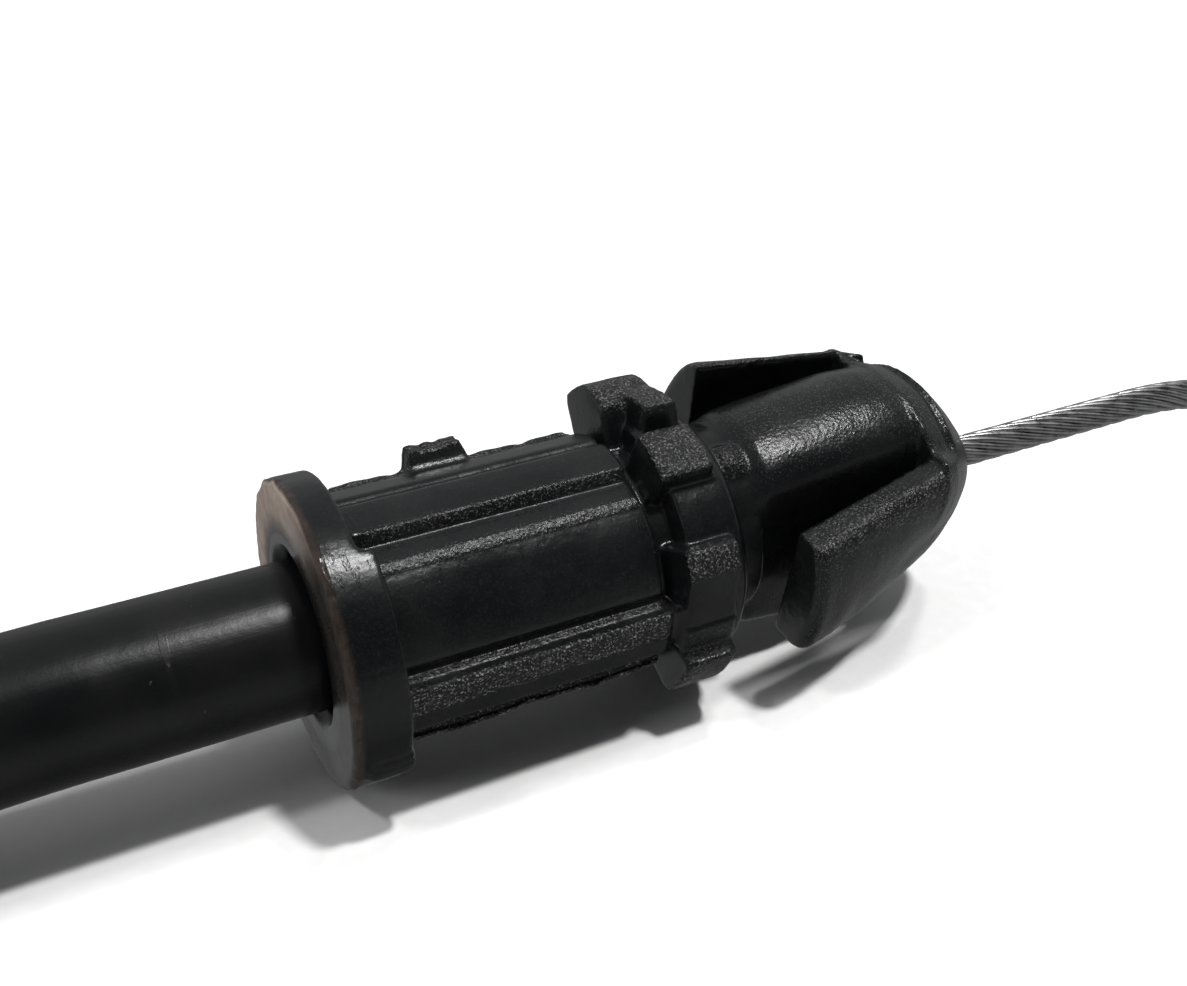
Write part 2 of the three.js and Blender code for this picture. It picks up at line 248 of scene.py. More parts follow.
# ---------------------------------------------------------------- materials
class Nodes:
    """Short calls for building one material's node tree."""

    def __init__(self, name):
        self.material = bpy.data.materials.new(name)
        self.material.use_nodes = True
        self.tree = self.material.node_tree
        self.shader = self.tree.nodes["Principled BSDF"]
        self.object = self.add("ShaderNodeTexCoord").outputs["Object"]

    def add(self, kind, **settings):
        node = self.tree.nodes.new(kind)
        for key, value in settings.items():
            if key in node.inputs:
                node.inputs[key].default_value = value
            else:
                setattr(node, key, value)
        return node

    def link(self, source, target):
        self.tree.links.new(source, target)

    def scaled(self, stretch=(1, 1, 1)):
        """Object coordinates in millimetres, stretched along the axes."""
        mapping = self.add("ShaderNodeMapping")
        mapping.inputs["Scale"].default_value = tuple(s / MM for s in stretch)
        self.link(self.object, mapping.inputs["Vector"])
        return mapping.outputs["Vector"]

    def noise(self, vector, scale, detail=4.0, roughness=0.6):
        node = self.add("ShaderNodeTexNoise", Scale=scale, Detail=detail, Roughness=roughness)
        self.link(vector, node.inputs["Vector"])
        return node.outputs["Fac"]

    def voronoi(self, vector, scale):
        node = self.add("ShaderNodeTexVoronoi", Scale=scale)
        self.link(vector, node.inputs["Vector"])
        return node.outputs["Distance"]

    def attribute(self, name):
        return self.add("ShaderNodeAttribute", attribute_name=name).outputs["Fac"]

    def ramp(self, value, low, high, start=0.0, end=1.0):
        node = self.add("ShaderNodeMapRange", interpolation_type="SMOOTHSTEP")
        node.inputs["From Min"].default_value = low
        node.inputs["From Max"].default_value = high
        node.inputs["To Min"].default_value = start
        node.inputs["To Max"].default_value = end
        self.link(value, node.inputs["Value"])
        return node.outputs["Result"]

    def math(self, operation, a, b):
        node = self.add("ShaderNodeMath", operation=operation)
        for socket, value in zip(node.inputs, (a, b)):
            if isinstance(value, (int, float)):
                socket.default_value = value
            else:
                self.link(value, socket)
        return node.outputs["Value"]

    def mix(self, factor, a, b):
        node = self.add("ShaderNodeMix", data_type="RGBA")
        for index, value in ((0, factor), (6, a), (7, b)):
            socket = node.inputs[index]
            if isinstance(value, (int, float)):
                socket.default_value = value
            elif isinstance(value, tuple):
                socket.default_value = (*value, 1)
            else:
                self.link(value, socket)
        return node.outputs[2]

    def bump(self, height, distance, normal=None):
        """Bump of the given distance in mm."""
        node = self.add("ShaderNodeBump", Strength=1.0, Distance=distance * MM)
        self.link(height, node.inputs["Height"])
        if normal is not None:
            self.link(normal, node.inputs["Normal"])
        return node.outputs["Normal"]

    def finish(self, color=None, roughness=None, normal=None):
        for name, value in (("Base Color", color), ("Roughness", roughness), ("Normal", normal)):
            if value is not None:
                self.link(value, self.shader.inputs[name])
        return self.material


def nylon_material():
    """Black moulded nylon: smooth panels, pitted ribs and lobes with painted glints, pale brown thin edges,
    and a pale saw-cut rear face with painted light and shade.
    """
    n = Nodes("fitting_nylon")
    plain = n.scaled()
    pits_and_glints = n.attribute("pits_and_glints")
    edges = n.attribute("thin")
    sawn_and_painted_light = n.attribute("sawn_and_painted_light")
    cloud = n.noise(plain, 0.35, 3)
    base = n.mix(n.ramp(cloud, 0.35, 0.7), (0.0032, 0.0036, 0.004), (0.0062, 0.0066, 0.007))
    brown = n.mix(n.noise(plain, 3.0, 3), (0.05, 0.034, 0.024), (0.012, 0.010, 0.009))
    base = n.mix(n.math("MULTIPLY", edges, 0.8), base, brown)
    dust = n.ramp(n.noise(plain, 5.5, 2), 0.73, 0.8, 0, 0.25)
    base = n.mix(dust, base, (0.09, 0.088, 0.085))
    # painted glints: bright specks on the pitted areas stand in for light catching the pits
    specks = n.math("MULTIPLY", n.ramp(n.noise(plain, 11.0, 2, 0.7), 0.56, 0.64), pits_and_glints)
    base = n.mix(n.math("MULTIPLY", pits_and_glints, 0.5), base, (0.012, 0.0124, 0.0124))
    base = n.mix(n.math("MULTIPLY", specks, 0.8), base, (0.24, 0.235, 0.226))
    # the saw-cut rear face: a paler brown-grey, lighter towards the upper back and darker at the bottom and
    # towards the bore, which is painted light and shade
    ground = n.mix(n.noise(plain, 1.6, 4, 0.6), (0.19, 0.15, 0.13), (0.5, 0.41, 0.345))
    base = n.mix(n.math("MULTIPLY", sawn_and_painted_light, 0.95), base, ground)
    grain = n.noise(plain, 3.4, 4, 0.7)
    cells = n.voronoi(plain, 6.5)
    pitted = n.math("MULTIPLY", n.math("ADD", grain, n.math("MULTIPLY", cells, 0.5)), pits_and_glints)
    streaks = n.noise(n.scaled((0.1, 1, 1)), 0.9, 3, 0.5)
    fine = n.noise(plain, 7.0, 2, 0.6)
    normal = n.bump(streaks, 0.022)
    normal = n.bump(fine, 0.004, normal=normal)
    scuffs = n.ramp(n.noise(n.scaled((1.3, 0.35, 0.35)), 2.6, 3, 0.7), 0.55, 0.68)
    normal = n.bump(scuffs, 0.006, normal=normal)
    normal = n.bump(pitted, 0.12, normal=normal)
    saw_lines = n.noise(n.scaled((1, 0.25, 1.6)), 2.2, 5, 0.7)
    normal = n.bump(n.math("MULTIPLY", saw_lines, sawn_and_painted_light), 0.06, normal=normal)
    rough = n.ramp(cloud, 0.3, 0.75, 0.21, 0.3)
    rough = n.math("ADD", rough, n.math("MULTIPLY", sawn_and_painted_light, 0.28))
    rough = n.math("ADD", rough, n.math("MULTIPLY", pits_and_glints, 0.06))
    dull = n.math("ADD", n.math("MULTIPLY", pits_and_glints, 0.16), n.ramp(sawn_and_painted_light, 0, 0.04, 0, 0.34))
    n.link(n.math("SUBTRACT", 0.5, dull), n.shader.inputs["Specular IOR Level"])
    n.shader.inputs["IOR"].default_value = 1.48
    return n.finish(base, rough, normal)


def jacket_material():
    """Black extruded jacket: a soft sheen, fine scratches every way, and a little dust."""
    n = Nodes("conduit_jacket")
    plain = n.scaled()
    cloud = n.noise(plain, 0.25, 3)
    base = n.mix(n.ramp(cloud, 0.35, 0.7), (0.0032, 0.0035, 0.0038), (0.006, 0.006, 0.0063))
    specks = n.ramp(n.noise(plain, 3.1, 2, 0.5), 0.72, 0.79, 0, 0.35)
    base = n.mix(specks, base, (0.08, 0.077, 0.072))
    along = n.noise(n.scaled((0.05, 1.2, 1.2)), 2.2, 4, 0.6)
    across = n.noise(n.scaled((1.4, 0.12, 0.2)), 1.4, 3, 0.6)
    scratches = n.ramp(across, 0.66, 0.7, 0, 1)
    dents = n.noise(plain, 0.8, 3, 0.5)
    normal = n.bump(along, 0.008)
    normal = n.bump(dents, 0.018, normal=normal)
    normal = n.bump(scratches, 0.003, normal=normal)
    normal = n.bump(n.noise(plain, 8.0, 2, 0.6), 0.003, normal=normal)
    rough = n.math("ADD", n.ramp(cloud, 0.3, 0.7, 0.25, 0.33), n.math("MULTIPLY", scratches, 0.08))
    n.shader.inputs["IOR"].default_value = 1.42
    return n.finish(base, rough, normal)


def metal_material(name, light, dark, rough, grain=(0.15, 1, 1), relief=0.01):
    n = Nodes(name)
    n.shader.inputs["Metallic"].default_value = 1
    plain = n.scaled()
    cloud = n.noise(plain, 0.9, 4)
    brushed = n.noise(n.scaled(grain), 6.0, 4, 0.65)
    stain = n.ramp(cloud, 0.3, 0.72)
    base = n.mix(stain, dark, light)
    worn = n.ramp(brushed, 0.3, 0.7, rough - 0.06, rough + 0.1)
    roughness = n.math("ADD", worn, n.ramp(cloud, 0.3, 0.7, 0.06, 0))
    normal = n.bump(brushed, relief)
    return n.finish(base, roughness, normal)


def strand_material():
    """Drawn steel wires, with painted shade on the sides that face one another and on the core."""
    n = Nodes("strand_steel")
    n.shader.inputs["Metallic"].default_value = 1
    plain = n.scaled()
    gap = n.attribute("gap")
    cloud = n.noise(plain, 1.4, 3)
    clean = n.mix(n.ramp(cloud, 0.3, 0.7), (0.36, 0.355, 0.35), (0.56, 0.56, 0.56))
    # painted shade: dark where the gap mask marks the inward sides of the wires and the core
    base = n.mix(gap, clean, (0.05, 0.045, 0.042))
    draw = n.noise(n.scaled((0.3, 1, 1)), 14.0, 3, 0.6)
    normal = n.bump(draw, 0.004)
    rough = n.ramp(cloud, 0.3, 0.7, 0.24, 0.4)
    return n.finish(base, rough, normal)


def plain_plastic(name, light, dark, rough):
    n = Nodes(name)
    plain = n.scaled()
    cloud = n.noise(plain, 0.5, 3)
    grain = n.noise(plain, 2.0, 4, 0.6)
    base = n.mix(n.ramp(cloud, 0.3, 0.7), dark, light)
    return n.finish(base, n.ramp(grain, 0.3, 0.7, rough - 0.05, rough + 0.08), n.bump(grain, 0.02))


def floor_material():
    n = Nodes("floor_paper")
    plain = n.scaled()
    grain = n.noise(plain, 1.2, 4)
    base = n.mix(n.ramp(grain, 0.2, 0.8), (0.86, 0.855, 0.85), (0.9, 0.9, 0.9))
    return n.finish(base, n.ramp(grain, 0.2, 0.8, 0.55, 0.65), n.bump(grain, 0.01))


NYLON = nylon_material()
JACKET = jacket_material()
STRAND = strand_material()
ZINC = metal_material("terminal_zinc", (0.6, 0.6, 0.6), (0.38, 0.38, 0.375), 0.38, relief=0.012)
ARMOUR = metal_material(
    "armour_steel", (0.45, 0.45, 0.46), (0.25, 0.25, 0.26), 0.33, grain=(4, 1, 1), relief=0.05,
)
LINER = plain_plastic("liner", (0.78, 0.77, 0.72), (0.68, 0.66, 0.6), 0.42)
TIE = plain_plastic("tie_nylon", (0.014, 0.014, 0.015), (0.008, 0.008, 0.009), 0.4)


# ---------------------------------------------------------------- conduit, from fitting to far ferrule
RUN_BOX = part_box("conduit_run")
RUN_START_X = RUN_BOX[1].x / MM
RUN_END_X = RUN_BOX[0].x / MM
AXIS_Z = REAR.z / MM
FAR_TILT = math.radians(12.3)
FAR_REACH = 26               # from the ferrule's open end to the far terminal's end
FAR_HEIGHT = FLOOR_GAP + TERMINAL_R * math.cos(FAR_TILT) + FAR_REACH * math.sin(FAR_TILT)
FAR_START = Vector((RUN_END_X + 0.3, 2 * COIL_Y, FAR_HEIGHT))
FAR_ALONG = Vector((math.cos(FAR_TILT), 0, -math.sin(FAR_TILT)))
FAR_HOLLOW = 11.7


def coil_route():
    """Three and a half turns: outer low, inner low, inner high, outer high, changing over in one place."""
    turns = 3.5
    change = (275, 345)
    steps = 36
    swing = 2.6                  # how far the turn that climbs keeps inside the others
    points = []
    for i in range(1, int(turns * steps)):
        clock = 360 * i / steps
        turn, within = divmod(clock, 360)
        t = float(smoothstep(change[0], change[1], within))
        if turn == 0:
            r, z = COIL_TOP_R + (COIL_LOW_R - COIL_TOP_R) * t, COIL_LOW_Z
        elif turn == 1:
            r = COIL_LOW_R - swing * math.sin(math.pi * t) ** 2
            z = COIL_LOW_Z + (COIL_HIGH_Z - COIL_LOW_Z) * t
        else:
            r = COIL_LOW_R + (COIL_TOP_R - COIL_LOW_R) * (t if turn == 2 else 1)
            z = COIL_HIGH_Z
        angle = math.radians(clock)
        points.append((COIL_X - r * math.sin(angle), COIL_Y - r * math.cos(angle), z))
    return points


def conduit_route():
    """The route's points, in mm: straight out, down to the lowest turn, round, and down to the far end."""
    start = REAR.x / MM
    near = [
        (start + 1.5, 0, AXIS_Z),
        (start, 0, AXIS_Z),
        (start - 4, 0, AXIS_Z),
        (start - 8, 0, AXIS_Z),
        (RUN_START_X, 0, AXIS_Z),
        (RUN_START_X - 4, 0, AXIS_Z - 0.2),
        (RUN_START_X - 11, 0, (AXIS_Z + COIL_LOW_Z) / 2),
        (RUN_END_X + 4, 0, COIL_LOW_Z + 0.2),
        (RUN_END_X, 0, COIL_LOW_Z),
        (RUN_END_X - 8, 0, COIL_LOW_Z),
        (RUN_END_X - 16, 0, COIL_LOW_Z),
    ]
    far = [
        (COIL_X, 2 * COIL_Y, COIL_HIGH_Z),
        (COIL_X + 5, 2 * COIL_Y, COIL_HIGH_Z),
        tuple(FAR_START - FAR_ALONG * 9),
        tuple(FAR_START - FAR_ALONG * 4),
        tuple(FAR_START),
        tuple(FAR_START + FAR_ALONG * 4),
        tuple(FAR_START + FAR_ALONG * 8),
        tuple(FAR_START + FAR_ALONG * FAR_HOLLOW),
    ]
    return near + coil_route() + far


def smooth_line(points, step):
    """A smooth curve through the points, at an even step."""
    points = [Vector(p) for p in points]
    padded = [points[0] * 2 - points[1]] + points + [points[-1] * 2 - points[-2]]
    fine = []
    for i in range(1, len(padded) - 2):
        a, b, c, d = padded[i - 1:i + 3]
        parts = max(2, int((c - b).length / (step * 0.25)))
        for k in range(parts):
            t = k / parts
            fine.append(0.5 * ((2 * b) + (c - a) * t + (2 * a - 5 * b + 4 * c - d) * t * t
                               + (3 * b - a - 3 * c + d) * t ** 3))
    fine.append(points[-1])
    even = [fine[0]]
    walked = 0.0
    for before, after in zip(fine, fine[1:]):
        walked += (after - before).length
        if walked >= step:
            even.append(after)
            walked = 0.0
    if (even[-1] - fine[-1]).length > step * 0.3:
        even.append(fine[-1])
    return even


def make_conduit():
    line = [p * MM for p in smooth_line(conduit_route(), 1.6)]
    vertices, faces = sweep(line, CONDUIT_R * MM, 40)
    conduit = mesh_object("conduit", vertices, faces, JACKET)
    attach(conduit, "fitting")
    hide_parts("conduit_jacket_near", "conduit_run", "conduit_coil", "conduit_jacket_far")
    return conduit, line


def strand(name, line, phase=0.0):
    """Twelve wires laid right-hand round a core, along a line in metres."""
    wires = 12
    wire_r = WIRE_D / 2 / 5
    lay_r = WIRE_D / 2 - wire_r
    lay = 9 * WIRE_D
    sides = 8
    side = (line[1] - line[0]).orthogonal().normalized()
    frames = []
    walked = 0.0
    for i, point in enumerate(line):
        if i:
            walked += (point - line[i - 1]).length / MM
        tangent = (line[min(i + 1, len(line) - 1)] - line[max(i - 1, 0)]).normalized()
        side = (side - tangent * side.dot(tangent)).normalized()
        frames.append((point, side.copy(), tangent.cross(side), walked))
    vertices, faces, gaps = [], [], []
    for wire in range(wires):
        centres, outs = [], []
        for point, across, other, along in frames:
            angle = phase + 2 * math.pi * (wire / wires + along / lay)
            out = across * math.cos(angle) + other * math.sin(angle)
            centres.append(point + out * lay_r * MM)
            outs.append(out)
        tube, quads = sweep(centres, wire_r * MM, sides)
        faces += [tuple(len(vertices) + k for k in face) for face in quads]
        for i, out in enumerate(outs):
            # painted shade: the sides of each wire that face the core are marked dark, and the core fully
            for vertex in tube[i * sides:(i + 1) * sides]:
                gaps.append(float(smoothstep(0.1, -0.6, (vertex - centres[i]).dot(out) / (wire_r * MM))))
        vertices += tube
    core, quads = sweep(line, (lay_r - wire_r * 0.3) * MM, 16)
    faces += [tuple(len(vertices) + k for k in face) for face in quads]
    gaps += [1.0] * len(core)
    vertices += core
    obj = mesh_object(name, vertices, faces, STRAND)
    attribute = obj.data.attributes.new("gap", "FLOAT", "POINT")
    attribute.data.foreach_set("value", np.array(gaps, np.float32))
    return obj


# the strand ahead of the nose: straight, then down to its terminal on the floor
WIRE_DIP = math.radians(13.5)
WIRE_BEND_R = 25
WIRE_STRAIGHT_X = 45


def wire_bend(angle):
    """The strand's place on its bend, in mm from the fitting's rear face, once it has dipped by angle."""
    return Vector((WIRE_STRAIGHT_X + WIRE_BEND_R * math.sin(angle), 0, -WIRE_BEND_R * (1 - math.cos(angle))))


BEND_END = wire_bend(WIRE_DIP)
SLOPE_DROP = AXIS_Z - FLOOR_GAP - TERMINAL_R * math.cos(WIRE_DIP) + BEND_END.z
WIRE_END = BEND_END + Vector((math.cos(WIRE_DIP), 0, -math.sin(WIRE_DIP))) * (SLOPE_DROP / math.sin(WIRE_DIP))


def near_wire_route():
    route = [Vector((x, 0, 0)) for x in (20, 25, 30, 33, 37, 41, WIRE_STRAIGHT_X)]
    bends = 4
    for i in range(1, bends + 1):
        route.append(wire_bend(WIRE_DIP * i / bends))
    route += [BEND_END.lerp(WIRE_END, t) for t in (0.35, 0.7, 1.0)]
    return route


def make_near_wire():
    line = [REAR + p * MM for p in smooth_line(near_wire_route(), 0.4)]
    wire = strand("strand_near", line)
    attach(wire, "core_near")
    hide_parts("wire_near")
    return wire, line


def terminal(name, matrix, length, body, node):
    """A zinc slug cast or swaged on the strand: a barrel with a waist ring, bevels and two jaw marks."""
    r = TERMINAL_R
    outline = rounded([
        (-length, 1.05), (-length, r - 0.25), (-length + 0.3, r), (-length * 0.56, r),
        (-length * 0.53, r - 0.18), (-length * 0.47, r - 0.18), (-length * 0.44, r), (-0.3, r),
        (0, r - 0.25), (0, 1.05), (-0.35, 0.85), (-length + 0.35, 0.85),
    ], 0.12)
    obj = turned(name, outline, matrix, ZINC)
    for vertex in obj.data.vertices:
        local = matrix.inverted() @ vertex.co
        flat = 0.90 * r * MM
        middle = -length * 0.25 * MM
        if abs(local.x - middle) < length * 0.13 * MM and abs(local.y) > flat:
            local.y = math.copysign(flat, local.y)
            vertex.co = matrix @ local
    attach(obj, body)
    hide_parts(node)
    return obj


NEAR_END = Matrix.Translation(REAR + WIRE_END * MM) @ Matrix.Rotation(WIRE_DIP, 4, "Y")
FAR_MATRIX = Matrix.Translation(FAR_START * MM) @ Matrix.Rotation(FAR_TILT, 4, "Y")

conduit, conduit_line = make_conduit()
near_wire, near_line = make_near_wire()
near_terminal = terminal("swaged_terminal_near", NEAR_END, 8, "core_near", "terminal_near")

far_line = [(FAR_START + FAR_ALONG * s) * MM for s in np.arange(9, FAR_REACH + 0.05, 0.4)]
far_wire = strand("strand_far", far_line, phase=0.4)
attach(far_wire, "core_far")
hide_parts("wire_far")
FAR_END = FAR_MATRIX @ Matrix.Translation((FAR_REACH * MM, 0, 0))
far_terminal = terminal("swaged_terminal_far", FAR_END, 4.5, "core_far", "terminal_far")


def make_far_ferrule():
    """A drawn steel cap crimped on the conduit: a rolled lip, two crimp grooves and a small nose."""
    bore = CONDUIT_R + 0.05
    outline = rounded([
        (2, bore), (2, 3.75), (2.5, 3.85), (5.2, 3.85), (5.5, 3.6), (6.3, 3.6), (6.6, 3.85), (8.4, 3.85),
        (8.7, 3.6), (9.5, 3.6), (9.8, 3.85), (12.2, 3.85), (12.6, 3.4), (12.6, 2.3), (13, 2.1), (13, 1.15),
        (12, 1.1), (12, bore),
    ], 0.12)
    obj = turned("crimped_ferrule_far", outline, FAR_MATRIX, ZINC)
    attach(obj, "fitting")
    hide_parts("conduit_ferrule_far")
    return obj


far_ferrule = make_far_ferrule()

for node, material in (
    ("conduit_liner_near", LINER), ("conduit_armour_near", ARMOUR),
    ("conduit_liner_far", LINER), ("conduit_armour_far", ARMOUR),
):
    carried = bpy.data.objects[node]
    carried.data.materials.clear()
    carried.data.materials.append(material)


# ---------------------------------------------------------------- cable ties on the coil
STRAP_THICK = 0.65
STRAP_WIDE = 3.4


def tie_outline(line):
    """The tight outline, as [r, z], round the turns of the coil that cross the tie's plane."""
    reach = CONDUIT_R + 0.1
    around = []
    for a, b in zip(line, line[1:]):
        if (a.y > 0) != (b.y > 0) and a.x > 0:
            turn = a.lerp(b, a.y / (a.y - b.y))
            around += [Vector((turn.x + reach * math.cos(t), turn.z + reach * math.sin(t)))
                       for t in np.linspace(0, 2 * math.pi, 40, endpoint=False)]
    return [tuple(around[k]) for k in geometry.convex_hull_2d(around)]


def tie_strap(index, outline, place):
    """A strap with raised edges and small teeth between them, wound along the outline."""
    middle = np.mean(outline, axis=0)
    section = [(-0.5, 0.1), (-0.42, 0), (0.42, 0), (0.5, 0.1), (0.5, 0.9), (0.42, 1), (0.34, 1), (0.3, 0.8),
               (-0.3, 0.8), (-0.34, 1), (-0.42, 1), (-0.5, 0.9)]
    dense = []
    for i in range(len(outline)):
        a, b = np.array(outline[i]), np.array(outline[(i + 1) % len(outline)])
        parts = max(1, int(np.linalg.norm(b - a) / 0.35))
        dense += [a + (b - a) * k / parts for k in range(parts)]
    vertices = []
    for i, point in enumerate(dense):
        before, after = dense[i - 1], dense[(i + 1) % len(dense)]
        along = (after - before) / np.linalg.norm(after - before)
        out = np.array([along[1], -along[0]])
        if out @ (point - middle) < 0:
            out = -out
        tooth = 0.12 if i % 2 else 0.0
        for across, up in section:
            depth = STRAP_THICK * up - (tooth if abs(across) < 0.32 and up > 0.5 else 0)
            r, z = point + out * depth
            vertices.append(place @ Vector((r * MM, across * STRAP_WIDE * MM, z * MM)))
    faces = grid_faces(len(dense), len(section), wrap_rows=True)
    band_obj = mesh_object(f"tie_strap_{index}", vertices, faces, TIE)
    recalculate(band_obj)
    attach(band_obj, "fitting")
    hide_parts(f"tie_{index}_band")
    return band_obj


def tie_head(index, place):
    """The locking head: a bevelled block with a slot on top and the strap's cut tail standing in it."""
    bm = bmesh.new()
    bmesh.ops.create_cube(bm, size=1, matrix=Matrix.Diagonal((5.6, 5.0, 3.6, 1)))
    bmesh.ops.bevel(bm, geom=bm.edges[:], offset=0.55, segments=3, affect="EDGES")
    slot_top = [f for f in bm.faces if f.normal.z > 0.99]
    bmesh.ops.inset_region(bm, faces=slot_top, thickness=0.9, depth=0)
    bmesh.ops.translate(bm, verts=list({v for f in slot_top for v in f.verts}), vec=(0, 0, -1.3))
    tail_place = Matrix.Translation((0, 0, 1.1)) @ Matrix.Diagonal((0.9, 2.6, 2.2, 1))
    tail = bmesh.ops.create_cube(bm, size=1, matrix=tail_place)
    tail_edges = list({e for v in tail["verts"] for e in v.link_edges})
    bmesh.ops.bevel(bm, geom=tail_edges, offset=0.15, segments=2, affect="EDGES")
    mesh = bpy.data.meshes.new(f"tie_head_{index}")
    bm.to_mesh(mesh)
    bm.free()
    mesh.materials.append(TIE)
    mesh.transform(place @ Matrix.Scale(MM, 4))
    head = bpy.data.objects.new(f"tie_head_{index}", mesh)
    bpy.context.scene.collection.objects.link(head)
    mesh.shade_smooth()
    mesh.set_sharp_from_angle(angle=math.radians(50))
    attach(head, "fitting")
    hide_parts(f"tie_{index}_head")
    return head


def tie_parts(index, clock):
    """One tie at a clock angle of the coil: a strap round the turns that pass there, and its head on top."""
    place = (Matrix.Translation((COIL_X * MM, COIL_Y * MM, 0))
             @ Matrix.Rotation(math.radians(270 - clock), 4, "Z"))
    outline = tie_outline([place.inverted() @ Vector(point) / MM for point in conduit_line])
    high = max(z for _, z in outline)
    top = [r for r, z in outline if z > high - 0.3]
    seat = Matrix.Translation(((min(top) + max(top)) / 2 * MM, 0, (high + STRAP_THICK + 1.75) * MM))
    return [tie_strap(index, outline, place), tie_head(index, place @ seat)]


ties = tie_parts(1, 60) + tie_parts(2, 240)


# ---------------------------------------------------------------- fitting
# raised blocks on the collar: first and last clock angle, radius
LOBES = ((10, 36, 6.5), (61, 98, 6.45), (96, 112, 6.1), (110, 141, 6.7), (177, 203, 6.4), (235, 261, 6.5),
         (314, 350, 7.4), (341, 365, 6.9))
KEY_LOBE, KEY_STEP, SIDE_LOBE = 314, 341, 61         # lobes with shapes of their own
# ribs on the barrel: middle clock angle, half width in degrees, height
RIBS = ((8.6, 10.6, 0.1), (97.6, 11.1, 0.58), (188.6, 10.6, 0.1), (277.6, 11.1, 0.58))
RIB_GROOVE = 0.24
SLOPING_GROOVE = 0.42
FLASH_CLOCK = 117.5
FIN_CLOCK = -36
FRONT_CLOCK = BARB_CLOCK
BACK_CLOCK = BARB_CLOCK - 180
CUT_X = 28.25                # where the barbs' meshes meet the body's
BARB_INSIDE = 3.62           # the barbs lie farther out than this, each on its own side
VOXEL = 0.11

# outside radius along the fitting: of the barbs, of the slimmer lower front side, and of the webs
TOP_LINE = (
    (20.2, 7.45), (22, 7.2), (24, 6.95), (26, 6.72), (28, 6.48),
    (29, 5.85), (30, 4.95), (31, 3.9), (32, 2.75), (33, 1.5),
)
LOW_LINE = (
    (20.2, 7.4), (22, 6.95), (24, 6.35), (26, 5.6), (28, 4.85),
    (29, 4.45), (30, 3.95), (31, 3.3), (32, 2.55), (33, 1.5),
)
WEB_LINE = (
    (20.2, 5.2), (22, 5.45), (24, 5.65), (26, 5.82), (27, 5.82), (28, 5.72),
    (29, 5.4), (30, 4.75), (31, 3.8), (32, 2.7), (33, 1.5),
)


def profile(line, x):
    return np.interp(x, [p[0] for p in line], [p[1] for p in line])


def barb_skin(x, clock):
    """The outside of the barbs and the nose: slimmer on the lower front side."""
    gap = clock_gap(clock, 126)
    low = 1 - smoothstep(22, 68, np.where(gap < 0, -gap, gap - 48))
    return profile(TOP_LINE, x) * (1 - low) + profile(LOW_LINE, x) * low


def web_skin(x, clock):
    """The round backs of the two webs; the lower one is slimmer."""
    return profile(WEB_LINE, x) - 1.2 * bump(clock, BARB_CLOCK + 90, 60, 20) * band(x, 23, 30, 2)


def flange_front(clock):
    return 1.75 + 0.65 * bump(clock, 120.6, 90, 3)


def barrel(x, clock):
    """Four ribs at right angles, grooves beside them, and the flash, fin and gate left by the mould."""
    r = BARREL_R + 0 * x * clock
    for index, (middle, half, height) in enumerate(RIBS):
        r = r + height * bump(clock, middle, half, 1.6)
        r = r - RIB_GROOVE * bump(clock, middle - half - 3.2, 2.6, 2.2)
        if index > 0:
            r = r - RIB_GROOVE * bump(clock, middle + half + 3.2, 2.6, 2.2)
    r = r - SLOPING_GROOVE * np.interp(clock % 360, (19, 22.5, 31, 33), (0, 1, 0.3, 0))
    flash = 0.5 + 0.06 * np.sin(x * 1.1 + 2) + 0.03 * np.sin(x * 3.1)
    r = r + flash * bump(clock, FLASH_CLOCK, 2.0, 1.4)
    r = r + 0.34 * bump(clock, 112.5, 1.4, 1.4)
    wobble = 0.05 * np.sin(x * 2.1) + 0.03 * np.sin(x * 5.3 + 1)
    r = r + (0.28 + wobble) * bump(clock, FIN_CLOCK, 1.3, 1.6) * band(x, 2.5, 13.6, 0.5)
    gate = bump(clock, -35, 6.5, 2.5) * band(x, 6.0, 8.6, 0.4)
    return r + (0.95 + 0.06 * np.sin(x * 2.3 + 1) + 0.04 * np.sin(x * 9)) * gate


def collar(x, clock):
    """A ring with raised blocks, whose sides follow the way the two mould halves open."""
    ring = 5.6 - 0.45 * smoothstep(COLLAR_X[1] - 0.5, COLLAR_X[1], x)
    ring = np.where((x >= COLLAR_X[0]) & (x <= COLLAR_X[1] + 0.05), ring, NECK_R)
    r = ring + 0 * clock
    for start, end, height in LOBES:
        middle, half = (start + end) / 2, (end - start) / 2
        low, high = LOBE_X
        if start == KEY_LOBE:
            low, high = low - 0.2, high + 0.1
        if start == KEY_STEP:
            low = low + 0.9
        inside = bump(clock, middle, half, 4) * band(x, low, high, 0.35)
        side = np.sin(np.radians(np.abs(clock_gap(clock, 7.6))))
        block = np.minimum(height, 5.95 / np.maximum(side, 0.3)) if start == SIDE_LOBE else height
        if start == KEY_LOBE:
            block = height - 0.9 * smoothstep(-30, -8, clock_gap(clock, 0))
        r = np.maximum(r, NECK_R + (block - NECK_R) * inside)
    return r


